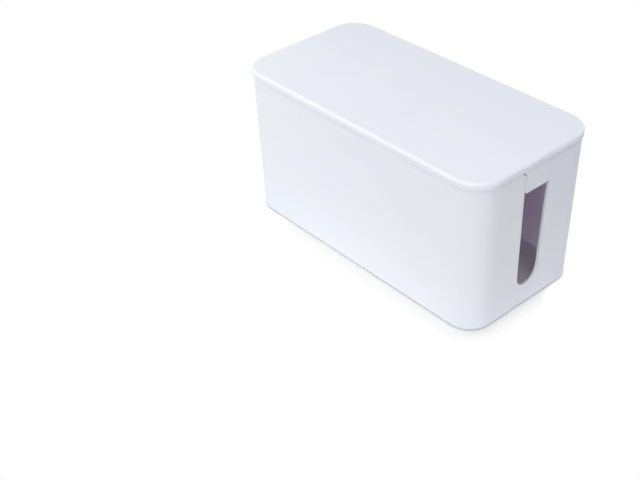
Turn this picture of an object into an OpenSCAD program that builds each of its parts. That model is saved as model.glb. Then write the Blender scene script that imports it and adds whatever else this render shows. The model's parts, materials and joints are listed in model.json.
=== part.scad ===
// Cable management box: a drafted open tub with a cable slot in each end,
// a lift-off lid whose two tabs close the tops of the slots, and four rubber feet.
// +Z is up, +X runs along the length; the origin is at the middle of the footprint
// on the table. Millimetres.

/* [Overall size] */
// Length over the lid
box_length = 235; // [190:5:320]
// Width over the lid
box_width = 115; // [100:5:150]
// Height from the table to the top of the lid
box_height = 120; // [100:5:160]
// Radius of the lid's four corners seen from above
corner_r = 21.25; // [16:0.25:28]

/* [Tub] */
// Thickness of the tub's side walls
wall = 2.2; // [1.8:0.1:3]
// Thickness of the tub's floor
floor_t = 2.4; // [2:0.1:4]
// How far each side wall leans in from its rim to its base
wall_lean = 2.1; // [0.5:0.1:5]
// Radius of the tub's outer bottom edge
base_edge_r = 1.5; // [0.5:0.1:3]
// Radius inside the tub where the wall meets the floor
inner_edge_r = 2.5; // [1:0.1:4]
// Chamfer on the outer edge of the tub's rim
rim_edge = 0.3; // [0.1:0.05:0.6]

/* [Cable slots] */
// Height of the lowest point of a slot above the table
slot_low_z = 17; // [12:0.1:30]
// Width of a slot at the top of its round bottom
slot_low_w = 21; // [14:0.5:26]
// Width of a slot at the rim, without the flare
slot_rim_w = 25.5; // [22:0.5:32]
// Leg of the 45 degree flare at each top corner of a slot
flare = 3.8; // [1:0.1:6]

/* [Lid] */
// Height of the lid's band that shows above the rim
band_h = 5.3; // [4.5:0.1:8]
// How far the lid stands out past the tub's rim
overhang = 0.8; // [0.3:0.1:2]
// Thickness of the lid's top plate
plate_t = 2.4; // [2:0.1:4]
// Radius of the lid's top edge
lid_edge_r = 2.25; // [1:0.25:4]
// Radius of the lower outer edge of the band
band_edge_r = 0.4; // [0.2:0.05:0.8]
// Depth of the locating lip below the rim
lip_h = 6; // [3:0.5:10]
// Thickness of the locating lip
lip_t = 1.6; // [1.2:0.1:2.4]
// Gap between the lip and the inside of the tub
lip_gap = 0.4; // [0.3:0.05:0.8]
// Height of the lead-in chamfer at the foot of the lip
lip_lead = 0.8; // [0.4:0.1:1.5]
// Space between an end of the lip and the tab beside it
lip_break = 1.5; // [1:0.1:3]

/* [Lid tabs] */
// How far a tab hangs below the top of the lid
tab_drop = 23; // [18:0.2:34]
// Gap between a tab and each side of its slot
tab_gap = 0.6; // [0.3:0.05:0.8]
// How far a tab's face sits back from the band above it
tab_step = 0.5; // [0.2:0.05:1]
// Radius of a tab's two lower corners
tab_corner_r = 1.2; // [0.5:0.1:3]
// Thickness of the ribs behind a tab
rib_t = 1.4; // [1:0.1:2]
// How far the ribs reach in from a tab at the top
rib_reach = 7; // [4:0.5:10]
// Distance between the two ribs behind a tab
rib_pitch = 12.5; // [8:0.5:16]
// Plain height of a tab below its ribs
rib_lift = 5; // [3:0.5:8]

/* [Feet] */
// Diameter of a rubber foot
foot_d = 12; // [8:0.5:16]
// How far a foot lifts the tub off the table
foot_lift = 0.5; // [0.3:0.1:2]
// Depth of the recess that holds a foot
foot_seat = 0.8; // [0.4:0.1:1.2]
// Gap round a foot in its recess
foot_gap = 0.2; // [0.1:0.05:0.4]
// Distance of a foot's centre in from the lid's outline
foot_inset = 23; // [20:0.5:30]
// Radius of a foot's lower edge
foot_edge_r = 0.4; // [0.2:0.1:0.5]

/* [Hidden] */
$fn = 96;
// overlap of pieces that are joined or cut
lap = 1;

// centres of the four corner radii
mid_x = box_length / 2 - corner_r;
mid_y = box_width / 2 - corner_r;

// centres of the feet
foot_x = box_length / 2 - foot_inset;
foot_y = box_width / 2 - foot_inset;

// heights
base_z = foot_lift;
floor_z = base_z + floor_t;
rim_z = box_height - band_h;
plate_z = box_height - plate_t;
lip_z = rim_z - lip_h;
tab_z = box_height - tab_drop;
slot_z = slot_low_z + slot_low_w / 2;
flare_z = rim_z - flare;

// radii about a corner centre
rim_r = corner_r - overhang;
lean = wall_lean / (rim_z - base_z);
lean_len = sqrt(1 + lean * lean);
lip_r = rim_r - wall - lip_gap;

// slot sides
slot_slope = (slot_rim_w - slot_low_w) / 2 / (rim_z - slot_z);

// outside of the tub wall about a corner centre, at height z
function wall_r(z) = rim_r - lean * (rim_z - z);

// half width of a slot at height z
function slot_half(z) = slot_low_w / 2 + slot_slope * (z - slot_z);

// half width of a slot's mouth, and of the stretch of the lid that has no lip
mouth_y = slot_half(flare_z) + flare;
break_y = mouth_y + lip_break;

// Half section of a drafted block from the corner centre out to radius r_at_rim at the rim,
// standing on z = low with a rounded foot, and cut off at z = high
module drafted_section(r_at_rim, low, edge_r, high) {
  cu = r_at_rim - lean * (rim_z - low - edge_r) - edge_r * lean_len;
  cz = low + edge_r;
  polygon([
    [0, low],
    [cu, low],
    [cu + edge_r / lean_len, cz - edge_r * lean / lean_len],
    [r_at_rim - lean * (rim_z - high), high],
    [0, high]
  ]);
  translate([cu, cz])
    circle(r = edge_r);
}

// Tub wall with its strip of floor; the chamfer leaves a fine groove under the lid
module tub_section() {
  difference() {
    drafted_section(rim_r, base_z, base_edge_r, rim_z);
    drafted_section(rim_r - wall, floor_z, inner_edge_r, rim_z + lap);
    polygon([
      [rim_r - rim_edge - lap, rim_z + lap],
      [rim_r + lap, rim_z + lap],
      [rim_r + lap, rim_z - rim_edge - lap]
    ]);
  }
}

// Lid edge: strip of top plate, rounded band and locating lip
module lid_section() {
  lip_low_r = lip_r - lean * lip_h;
  polygon([
    [0, plate_z],
    [lip_r - lip_t, plate_z],
    [lip_r - lip_t, lip_z],
    [lip_low_r - lip_lead / 2, lip_z],
    [lip_low_r, lip_z + lip_lead],
    [lip_r, rim_z],
    [corner_r - band_edge_r, rim_z],
    [corner_r, rim_z + band_edge_r],
    [corner_r, box_height - lid_edge_r],
    [corner_r - lid_edge_r, box_height],
    [0, box_height]
  ]);
  intersection() {
    translate([corner_r - lid_edge_r, box_height - lid_edge_r])
      circle(r = lid_edge_r);
    translate([0, box_height - lid_edge_r])
      square([corner_r, lid_edge_r]);
  }
  translate([corner_r - band_edge_r, rim_z + band_edge_r])
    circle(r = band_edge_r);
}

// Carries a section round the rounded rectangle
module round_plan() {
  for (q = [0:3]) {
    sx = (q == 0 || q == 3) ? 1 : -1;
    sy = (q < 2) ? 1 : -1;
    translate([sx * mid_x, sy * mid_y, 0])
      rotate([0, 0, 90 * q])
        rotate_extrude(angle = 90)
          children();
  }
  for (side = [0, 180]) {
    rotate([0, 0, side])
      translate([mid_x, mid_y, 0])
        rotate([90, 0, 0])
          linear_extrude(height = 2 * mid_y)
            children();
    rotate([0, 0, side])
      translate([-mid_x, mid_y, 0])
        rotate([0, 0, 90])
          rotate([90, 0, 0])
            linear_extrude(height = 2 * mid_x)
              children();
  }
}

// Slot outline in the end wall: round bottom, widening sides, flared top corners
module slot_outline() {
  translate([0, slot_z])
    circle(r = slot_low_w / 2);
  polygon([
    [-slot_low_w / 2, slot_z],
    [slot_low_w / 2, slot_z],
    [slot_half(flare_z), flare_z],
    [mouth_y, rim_z],
    [mouth_y, rim_z + lap],
    [-mouth_y, rim_z + lap],
    [-mouth_y, rim_z],
    [-slot_half(flare_z), flare_z]
  ]);
}

// Tab outline: the top of the slot less the gap, with rounded lower corners
module tab_outline() {
  turn_z = flare_z + tab_gap * (sqrt(2) - 1) / (1 - slot_slope);
  top_y = mouth_y - tab_gap * sqrt(2);
  low_z = tab_z + tab_corner_r;
  low_y = slot_half(low_z) - tab_gap - tab_corner_r;
  polygon([
    [-low_y, tab_z],
    [low_y, tab_z],
    [low_y + tab_corner_r, low_z],
    [slot_half(turn_z) - tab_gap, turn_z],
    [top_y, rim_z],
    [top_y, rim_z + lap],
    [-top_y, rim_z + lap],
    [-top_y, rim_z],
    [tab_gap - slot_half(turn_z), turn_z],
    [-low_y - tab_corner_r, low_z]
  ]);
  for (s = [-1, 1])
    translate([s * low_y, low_z])
      circle(r = tab_corner_r);
}

// Tab at the +X end: its outline cut from a slab that leans with the end wall
module tab() {
  face_x = mid_x + corner_r - tab_step;
  back_x = mid_x + rim_r - wall;
  sink = lean * (rim_z - tab_z + lap);
  intersection() {
    translate([mid_x, 0, 0])
      rotate([90, 0, 90])
        linear_extrude(height = 2 * corner_r)
          tab_outline();
    translate([0, break_y, 0])
      rotate([90, 0, 0])
        linear_extrude(height = 2 * break_y)
          polygon([
            [back_x - sink, tab_z - lap],
            [face_x - sink, tab_z - lap],
            [face_x, rim_z],
            [face_x, rim_z + lap],
            [back_x, rim_z + lap],
            [back_x, rim_z]
          ]);
  }
}

// Rib behind the +X tab, from the lid's plate down the back of the tab
module tab_rib() {
  low_z = tab_z + rib_lift;
  low_x = mid_x + wall_r(low_z) - wall;
  top_x = mid_x + rim_r - wall;
  rotate([90, 0, 0])
    linear_extrude(height = rib_t, center = true)
      polygon([
        [low_x - rib_t / 2, low_z],
        [low_x + wall / 2, low_z],
        [top_x + wall / 2, plate_z + lap],
        [top_x - rib_reach, plate_z + lap],
        [top_x - rib_reach, plate_z - rib_t]
      ]);
}

module tub() {
  color([0.93, 0.94, 0.96])
    difference() {
      union() {
        round_plan()
          tub_section();
        translate([-mid_x, -mid_y, base_z])
          cube([2 * mid_x, 2 * mid_y, floor_t]);
      }
      translate([-box_length, 0, 0])
        rotate([90, 0, 90])
          linear_extrude(height = 2 * box_length)
            slot_outline();
      for (sx = [-1, 1])
        for (sy = [-1, 1])
          translate([sx * foot_x, sy * foot_y, base_z - lap])
            cylinder(h = foot_seat + lap, d = foot_d + 2 * foot_gap);
    }
}

module lid() {
  color([0.93, 0.94, 0.96]) {
    difference() {
      union() {
        round_plan()
          lid_section();
        translate([-mid_x, -mid_y, plate_z])
          cube([2 * mid_x, 2 * mid_y, plate_t]);
      }
      for (side = [0, 180])
        rotate([0, 0, side])
          translate([mid_x, -break_y, lip_z - lap])
            cube([corner_r + lap, 2 * break_y, lip_h + lap]);
    }
    for (side = [0, 180])
      rotate([0, 0, side]) {
        tab();
        for (y = [-rib_pitch / 2, rib_pitch / 2])
          translate([0, y, 0])
            tab_rib();
      }
  }
}

// Rubber foot seated in its recess, with a rounded lower edge
module foot(sx, sy) {
  flat_r = foot_d / 2 - foot_edge_r;
  color([0.16, 0.16, 0.17])
    translate([sx * foot_x, sy * foot_y, 0])
      rotate_extrude() {
        square([flat_r, foot_lift + foot_seat]);
        translate([0, foot_edge_r])
          square([foot_d / 2, foot_lift + foot_seat - foot_edge_r]);
        translate([flat_r, foot_edge_r])
          circle(r = foot_edge_r);
      }
}

tub();
lid();
foot(-1, -1);  // foot_1
foot(1, -1);  // foot_2
foot(1, 1);  // foot_3
foot(-1, 1);  // foot_4
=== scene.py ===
"""Looks of the cable management box: white satin plastic, rubber feet, a pale studio floor.

Every CAD node keeps its own shape and gets a procedural material; no piece is added.
Lengths are in metres and angles in degrees, unless a comment says otherwise.
"""

import json
import math

import bpy
from mathutils import Matrix, Vector


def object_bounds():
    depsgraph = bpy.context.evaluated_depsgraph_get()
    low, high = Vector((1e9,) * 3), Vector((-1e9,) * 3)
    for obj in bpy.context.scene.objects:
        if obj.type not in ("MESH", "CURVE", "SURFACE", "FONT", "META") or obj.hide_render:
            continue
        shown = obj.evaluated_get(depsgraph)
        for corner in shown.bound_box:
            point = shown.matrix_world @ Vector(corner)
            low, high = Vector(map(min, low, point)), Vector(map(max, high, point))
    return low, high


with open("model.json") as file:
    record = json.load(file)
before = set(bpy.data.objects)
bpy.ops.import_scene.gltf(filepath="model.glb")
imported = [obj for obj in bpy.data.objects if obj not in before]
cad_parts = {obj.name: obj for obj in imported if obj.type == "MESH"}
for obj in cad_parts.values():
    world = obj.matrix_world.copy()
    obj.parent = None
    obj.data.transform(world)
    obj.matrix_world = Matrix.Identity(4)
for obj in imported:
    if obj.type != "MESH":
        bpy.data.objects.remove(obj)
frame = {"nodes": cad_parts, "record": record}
BOUNDS_AT_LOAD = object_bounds()
ORIGIN = (0.0, 0.0, 0.0)
MIDDLE = Vector((0.0, 0.0, (BOUNDS_AT_LOAD[0].z + BOUNDS_AT_LOAD[1].z) / 2))

# Camera: its place and roll as seen from the box's middle, its lens and sensor in
# millimetres, and how far the box's middle lies off the lens's axis
CAMERA_AZIMUTH = 50.38
CAMERA_ELEVATION = 36.23
CAMERA_ROLL = -2.54
CAMERA_DISTANCE = 0.78995
CAMERA_LENS = 61.09
CAMERA_SENSOR = 36.0
BOX_RIGHT_OF_AXIS = 0.06398
BOX_ABOVE_AXIS = 0.05381

# Outline of the tub's base: half of each straight side, and the corner radius
BASE_HALF_STRAIGHT = (0.09625, 0.03625, 0.0)
BASE_CORNER = 0.0183

# Floor as it lights the box: its colour, and a glow that fades with the distance from the
# origin and is cut to a share of itself under the tub's base, over a narrow edge
FLOOR_SIDE = 12.0
FLOOR_ALBEDO = 0.8
FLOOR_GLOW = 0.28
FLOOR_GLOW_REACH = 0.35
FLOOR_GLOW_UNDER = 0.2
FLOOR_GLOW_EDGE = 0.001

# Floor as it shows: its colour in the shadow, and how far from the base it has faded to
# white. Between two distances from the origin across the photograph's view, that distance
# from the base shrinks by a factor
FLOOR_SHOWN = 0.76
SHADOW_REACH = 0.012
SHADOW_ACROSS = (0.64, 0.77, 0.0)
SHADOW_NARROWS = (0.085, 0.105)
SHADOW_SHRINKS = 12.0

# Noises: scale in waves per metre, detail, roughness
FLOW_NOISE = (9.0, 4.0, 0.55)
CLOUD_NOISE = (55.0, 3.0, 0.5)
RUB_NOISE = (240.0, 3.0, 0.5)
GRAIN_NOISE = (2600.0, 2.0, 0.5)
DUST_NOISE = (420.0, 4.0, 0.5)
PIT_NOISE = (3200.0, 3.0, 0.5)

# The part of a noise's range that a ramp is spread over
MIDDLE_BAND = (0.3, 0.7)
RUB_BAND = (0.35, 0.7)
DUST_BAND = (0.35, 0.75)

# Bumps: strength, and the height of the relief
FLOW_BUMP = (0.05, 0.0006)
GRAIN_BUMP = (0.10, 0.0001)
PIT_BUMP = (0.35, 0.0001)

# Worn edges, which on the shell are also lightened as a painted sheen: radius of the
# rounding, and the cosines between the rounded and the true normal at which an edge is fully
# worn and not worn at all
SHELL_WEAR_AND_SHEEN = (0.0005, 0.86, 0.995)
FOOT_WEAR = (0.0004, 0.80, 0.99)
WEAR_SAMPLES = 6

# Shell plastic: two tones of the white outside, the rubbed edges (lighter, partly a painted
# sheen), and the inside (darker and lilac, painted shade)
SHELL_COOL = (0.845, 0.875, 0.965, 1.0)
SHELL_WARM = (0.865, 0.890, 0.965, 1.0)
SHELL_EDGE_RUB_AND_SHEEN = (0.90, 0.915, 0.95, 1.0)
SHELL_INSIDE_PAINTED_SHADE = (0.872, 0.838, 0.935, 1.0)
SHELL_ROUGHNESS = (0.40, 0.47)
SHELL_IOR = 1.46

# Rubbing: how weak it may get along an edge, and what it does to tint (lighter, partly a
# painted sheen) and roughness
RUB_LEAST = 0.35
RUB_SHEEN_TINTS = 0.35
RUB_SMOOTHS = 0.08

# Light through the thin walls: how deep it goes, as a length and for each colour
WALL_DEPTH = 0.0032
WALL_DEPTH_BY_COLOUR = (1.0, 0.86, 1.12)

# A surface is inside where the way to it from the box's middle, measured along its normal,
# is below the first of these, and outside where it is above the second
FACING_IN = (-0.03, -0.02)

# Rubber of the feet: clean and dusty, and how much dust lies along its edges
RUBBER_DARK = (0.018, 0.018, 0.019, 1.0)
RUBBER_DUSTY = (0.075, 0.073, 0.070, 1.0)
RUBBER_ROUGHNESS = (0.72, 0.86)
RUBBER_IOR = 1.5
EDGE_DUST = 0.4

# Studio light: the world's strength, then for each softbox its name, azimuth, elevation,
# distance, width, height, watts, colour, and how far off the box's middle it aims
AMBIENT = 0.06
WHITE = (1.0, 1.0, 1.0)
CREAM = (1.0, 1.0, 0.95)
SOFTBOXES = [
    ("overhead", 60.0, 70.0, 1.2, 0.8, 0.8, 4.85, WHITE, ORIGIN),
    ("high_front", 40.0, 50.0, 1.2, 0.8, 0.8, 3.1, WHITE, ORIGIN),
    ("front", 20.0, 30.0, 1.2, 0.8, 0.8, 3.1, CREAM, ORIGIN),
    ("front_right", 65.0, 35.0, 1.2, 0.8, 0.8, 1.55, WHITE, ORIGIN),
    ("left", -60.0, 40.0, 0.6, 0.4, 0.4, 1.1, CREAM, ORIGIN),
    ("back", 175.0, 15.0, 1.2, 0.8, 0.8, 4.2, WHITE, ORIGIN),
    ("low_card", -45.0, 8.0, 0.45, 0.25, 0.12, 0.21, CREAM, (-0.06, 0.0, -0.03)),
]


def grey(level):
    return (level, level, level, 1.0)


def direction(azimuth, elevation):
    """Unit vector towards a place seen from the box: azimuth 0 is -Y, 90 is +X."""
    a, e = math.radians(azimuth), math.radians(elevation)
    return Vector(
        (math.sin(a) * math.cos(e), -math.cos(a) * math.cos(e), math.sin(e))
    )


class Tree:
    """Adds nodes to a material's or a world's node tree and joins them."""

    def __init__(self, owner):
        owner.use_nodes = True
        self.tree = owner.node_tree
        self.tree.nodes.clear()

    def add(self, kind, settings=None, **inputs):
        node = self.tree.nodes.new(kind)
        for name, value in (settings or {}).items():
            setattr(node, name, value)
        for name, value in inputs.items():
            self.feed(node, name.replace("_", " "), value)
        return node

    def put(self, socket, value):
        """Links a socket to the output that feeds it, or sets it to a plain value."""
        if isinstance(value, bpy.types.NodeSocket):
            self.tree.links.new(value, socket)
        else:
            socket.default_value = value

    def feed(self, node, name, value):
        self.put(next(s for s in node.inputs if s.enabled and s.name == name), value)

    def operate(self, node, a, b):
        self.put(node.inputs[0], a)
        self.put(node.inputs[1], b)
        return next(s for s in node.outputs if s.enabled)

    def math(self, operation, a, b=0.0, clamp=False):
        node = self.add("ShaderNodeMath", {"operation": operation, "use_clamp": clamp})
        return self.operate(node, a, b)

    def vector(self, operation, a, b=ORIGIN):
        node = self.add("ShaderNodeVectorMath", {"operation": operation})
        return self.operate(node, a, b)

    def two_shaders(self, node, first_input, a, b):
        self.put(node.inputs[first_input], a.outputs[0])
        self.put(node.inputs[first_input + 1], b.outputs[0])
        return node

    def blend(self, factor, a, b):
        return self.two_shaders(self.add("ShaderNodeMixShader", Fac=factor), 1, a, b)

    def total(self, a, b):
        return self.two_shaders(self.add("ShaderNodeAddShader"), 0, a, b)

    def noise(self, vector, scale, detail, roughness):
        return self.add(
            "ShaderNodeTexNoise",
            Vector=vector,
            Scale=scale,
            Detail=detail,
            Roughness=roughness,
        ).outputs[0]

    def ramp(self, value, low, high, out_low, out_high):
        node = self.add("ShaderNodeMapRange", {"interpolation_type": "SMOOTHSTEP"})
        self.feed(node, "Value", value)
        self.feed(node, "From Min", low)
        self.feed(node, "From Max", high)
        self.feed(node, "To Min", out_low)
        self.feed(node, "To Max", out_high)
        return node.outputs[0]

    def mix(self, factor, a, b):
        node = self.add("ShaderNodeMix", {"data_type": "RGBA"})
        self.feed(node, "Factor", factor)
        self.feed(node, "A", a)
        self.feed(node, "B", b)
        return next(s for s in node.outputs if s.enabled)

    def bump(self, height, strength, distance, normal):
        return self.add(
            "ShaderNodeBump",
            Strength=strength,
            Distance=distance,
            Height=height,
            Normal=normal,
        ).outputs[0]

    def shows_background(self):
        """1 for rays that show the background: to the camera, mirrored or through glass."""
        path = self.add("ShaderNodeLightPath").outputs
        mirrored = self.math("MAXIMUM", path["Is Glossy Ray"], path["Is Transmission Ray"])
        return self.math("MAXIMUM", path["Is Camera Ray"], mirrored)


def edge_rounding_and_mask(t, radius, worn, unworn):
    """Normal rounded at a piece's edges, and a mask: 1 along the edges, 0 on the faces."""
    rounded = t.add("ShaderNodeBevel", {"samples": WEAR_SAMPLES}, Radius=radius).outputs[0]
    true = t.add("ShaderNodeNewGeometry").outputs["Normal"]
    cosine = t.vector("DOT_PRODUCT", rounded, true)
    return rounded, t.ramp(cosine, unworn, worn, 0.0, 1.0)


def facing_in(t, place):
    """1 on surfaces that face the middle of the box, 0 on outsides and the slots' edges."""
    from_middle = t.vector("SUBTRACT", place, tuple(MIDDLE))
    normal = t.add("ShaderNodeTexCoord").outputs["Normal"]
    outward = t.vector("DOT_PRODUCT", from_middle, normal)
    return t.ramp(outward, *FACING_IN, 1.0, 0.0)


def shell_plastic():
    """White moulded plastic: fine spark-eroded grain, faint flow marks, rubbed edges that are
    lightened partly as a painted sheen.

    Its walls are thin enough for daylight to glow through. The inside faces also get a darker
    lilac colour, painted shade for the dim inside of the box.
    """
    m = bpy.data.materials.new("shell_plastic")
    t = Tree(m)
    place = t.add("ShaderNodeTexCoord").outputs["Object"]
    flow = t.noise(place, *FLOW_NOISE)
    cloud = t.noise(place, *CLOUD_NOISE)
    grain = t.noise(place, *GRAIN_NOISE)
    smooth_normal, edge = edge_rounding_and_mask(t, *SHELL_WEAR_AND_SHEEN)
    patchy = t.ramp(t.noise(place, *RUB_NOISE), *RUB_BAND, RUB_LEAST, 1.0)
    rub_and_sheen = t.math("MULTIPLY", edge, patchy)
    inside = facing_in(t, place)
    tint = t.mix(t.ramp(flow, *MIDDLE_BAND, 0.0, 1.0), SHELL_COOL, SHELL_WARM)
    # edges get a lighter tint: partly wear, partly a painted sheen
    tint = t.mix(t.math("MULTIPLY", rub_and_sheen, RUB_SHEEN_TINTS), tint, SHELL_EDGE_RUB_AND_SHEEN)
    # inside faces get a darker lilac colour: painted shade for the box's dim inside
    tint = t.mix(inside, tint, SHELL_INSIDE_PAINTED_SHADE)
    rough = t.ramp(cloud, *MIDDLE_BAND, *SHELL_ROUGHNESS)
    rough = t.math("SUBTRACT", rough, t.math("MULTIPLY", rub_and_sheen, RUB_SMOOTHS))
    grained = t.bump(grain, *GRAIN_BUMP, smooth_normal)
    shader = t.add(
        "ShaderNodeBsdfPrincipled",
        Base_Color=tint,
        Roughness=rough,
        IOR=SHELL_IOR,
        Normal=t.bump(flow, *FLOW_BUMP, grained),
        Subsurface_Weight=inside,
        Subsurface_Scale=WALL_DEPTH,
        Subsurface_Radius=WALL_DEPTH_BY_COLOUR,
    )
    t.add("ShaderNodeOutputMaterial", Surface=shader.outputs[0])
    return m


def foot_rubber():
    """Dark rubber: pitted skin with patches of dust, which is thicker along the edges."""
    m = bpy.data.materials.new("foot_rubber")
    t = Tree(m)
    place = t.add("ShaderNodeTexCoord").outputs["Object"]
    dust = t.noise(place, *DUST_NOISE)
    pits = t.noise(place, *PIT_NOISE)
    smooth_normal, edge = edge_rounding_and_mask(t, *FOOT_WEAR)
    tint = t.mix(t.ramp(dust, *DUST_BAND, 0.0, 1.0), RUBBER_DARK, RUBBER_DUSTY)
    tint = t.mix(t.math("MULTIPLY", edge, EDGE_DUST), tint, RUBBER_DUSTY)
    shader = t.add(
        "ShaderNodeBsdfPrincipled",
        Base_Color=tint,
        Roughness=t.ramp(dust, *MIDDLE_BAND, *RUBBER_ROUGHNESS),
        IOR=RUBBER_IOR,
        Normal=t.bump(pits, *PIT_BUMP, smooth_normal),
    )
    t.add("ShaderNodeOutputMaterial", Surface=shader.outputs[0])
    return m


def dress():
    """Gives each CAD node the material of its slot in the record."""
    made = {"shell_plastic": shell_plastic(), "foot_rubber": foot_rubber()}
    slots = {s["node"]: s["material_slot"] for s in frame["record"]["subparts"]}
    for name, obj in frame["nodes"].items():
        obj.data.materials.clear()
        obj.data.materials.append(made[slots[name]])


def floor_paper():
    """Pale floor that lights the box plainly and shows white, with the box's close shadow."""
    m = bpy.data.materials.new("floor")
    t = Tree(m)
    place = t.add("ShaderNodeTexCoord").outputs["Object"]
    past_straight = t.vector("SUBTRACT", t.vector("ABSOLUTE", place), BASE_HALF_STRAIGHT)
    from_corner = t.vector("LENGTH", t.vector("MAXIMUM", past_straight, ORIGIN))
    from_base = t.math("SUBTRACT", from_corner, BASE_CORNER)

    fade = t.ramp(t.vector("LENGTH", place), 0.0, FLOOR_GLOW_REACH, FLOOR_GLOW, 0.0)
    uncovered = t.ramp(from_base, -FLOOR_GLOW_EDGE, 0.0, FLOOR_GLOW_UNDER, 1.0)
    strength = t.math("MULTIPLY", fade, uncovered)
    paper = t.add("ShaderNodeBsdfDiffuse", Color=grey(FLOOR_ALBEDO))
    glow = t.add("ShaderNodeEmission", Color=grey(1.0), Strength=strength)

    across = t.math("ABSOLUTE", t.vector("DOT_PRODUCT", place, SHADOW_ACROSS))
    sooner = t.ramp(across, *SHADOW_NARROWS, 1.0, SHADOW_SHRINKS)
    faded = t.math("MULTIPLY", from_base, sooner)
    faded = t.math("SQRT", t.math("DIVIDE", faded, SHADOW_REACH, clamp=True))
    shadow = t.add("ShaderNodeBsdfDiffuse", Color=grey(FLOOR_SHOWN))
    white = t.add("ShaderNodeEmission", Color=grey(1.0), Strength=1.0)
    shown = t.blend(faded, shadow, white)

    surface = t.blend(t.shows_background(), t.total(paper, glow), shown)
    t.add("ShaderNodeOutputMaterial", Surface=surface.outputs[0])
    return m


def make_floor():
    """A wide flat floor in the plane that the feet stand on."""
    half = FLOOR_SIDE / 2
    mesh = bpy.data.meshes.new("floor")
    mesh.from_pydata(
        [(-half, -half, 0), (half, -half, 0), (half, half, 0), (-half, half, 0)],
        [],
        [(0, 1, 2, 3)],
    )
    mesh.materials.append(floor_paper())
    floor = bpy.data.objects.new("floor", mesh)
    bpy.context.scene.collection.objects.link(floor)


def make_world():
    """Even studio light all round, which shows as white behind the floor."""
    world = bpy.data.worlds.new("studio")
    bpy.context.scene.world = world
    t = Tree(world)
    lit = t.add("ShaderNodeBackground", Color=grey(1.0), Strength=AMBIENT)
    shown = t.add("ShaderNodeBackground", Color=grey(1.0), Strength=1.0)
    surface = t.blend(t.shows_background(), lit, shown)
    t.add("ShaderNodeOutputWorld", Surface=surface.outputs[0])


def make_lights():
    """The softboxes, each a rectangle that faces the point it aims at."""
    for name, azimuth, elevation, distance, width, height, watts, colour, aim in SOFTBOXES:
        data = bpy.data.lights.new(name, "AREA")
        data.shape = "RECTANGLE"
        data.size, data.size_y = width, height
        data.energy = watts
        data.color = colour
        lamp = bpy.data.objects.new(name, data)
        back = direction(azimuth, elevation)
        lamp.location = MIDDLE + Vector(aim) + back * distance
        lamp.rotation_euler = (-back).to_track_quat("-Z", "Y").to_euler()
        bpy.context.scene.collection.objects.link(lamp)


def make_camera():
    """The photograph's camera, with the box off its axis as in the photograph."""
    back = direction(CAMERA_AZIMUTH, CAMERA_ELEVATION)
    right = Vector((0, 0, 1)).cross(back).normalized()
    up = back.cross(right)
    roll = math.radians(CAMERA_ROLL)
    rolled_right = right * math.cos(roll) + up * math.sin(roll)
    rolled_up = up * math.cos(roll) - right * math.sin(roll)
    place = (
        MIDDLE
        + back * CAMERA_DISTANCE
        - rolled_right * BOX_RIGHT_OF_AXIS
        - rolled_up * BOX_ABOVE_AXIS
    )
    data = bpy.data.cameras.new("camera")
    data.lens = CAMERA_LENS
    data.sensor_width = CAMERA_SENSOR
    camera = bpy.data.objects.new("camera", data)
    turn = Matrix((rolled_right, rolled_up, back)).transposed()
    camera.matrix_world = Matrix.Translation(place) @ turn.to_4x4()
    bpy.context.scene.collection.objects.link(camera)
    bpy.context.scene.camera = camera


make_camera()
dress()
make_floor()
make_world()
make_lights()
bpy.context.scene.view_settings.view_transform = "Standard"
